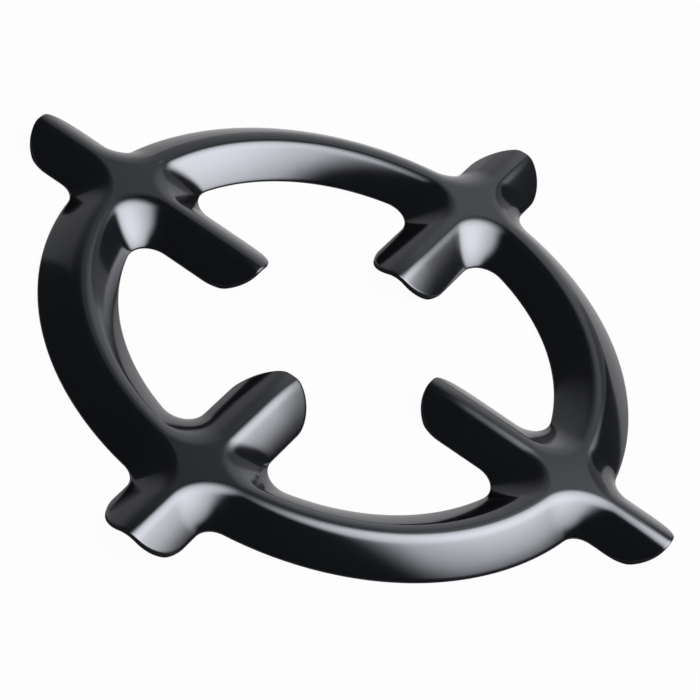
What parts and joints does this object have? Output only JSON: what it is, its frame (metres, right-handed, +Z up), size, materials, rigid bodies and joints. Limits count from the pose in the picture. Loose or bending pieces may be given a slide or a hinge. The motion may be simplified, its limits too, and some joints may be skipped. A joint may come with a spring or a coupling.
{
  "type": "stove reducer ring",
  "caption": "Pressed enamelled steel ring with crossing arms, laid on a gas hob's pan support so that a small pot or coffee maker stands safely over the burner.",
  "frame": {"origin": "centre of the ring, on the plane that the cut rim stands on", "axes": "+Z up along the ring's axis, +X and +Y along the arms"},
  "size_m": [0.14, 0.14, 0.0048],
  "materials": {
    "black_enamel": "gloss vitreous enamel"
  },
  "bodies": {
    "root": {"reducer_ring": "black_enamel"}
  },
  "joints": []
}
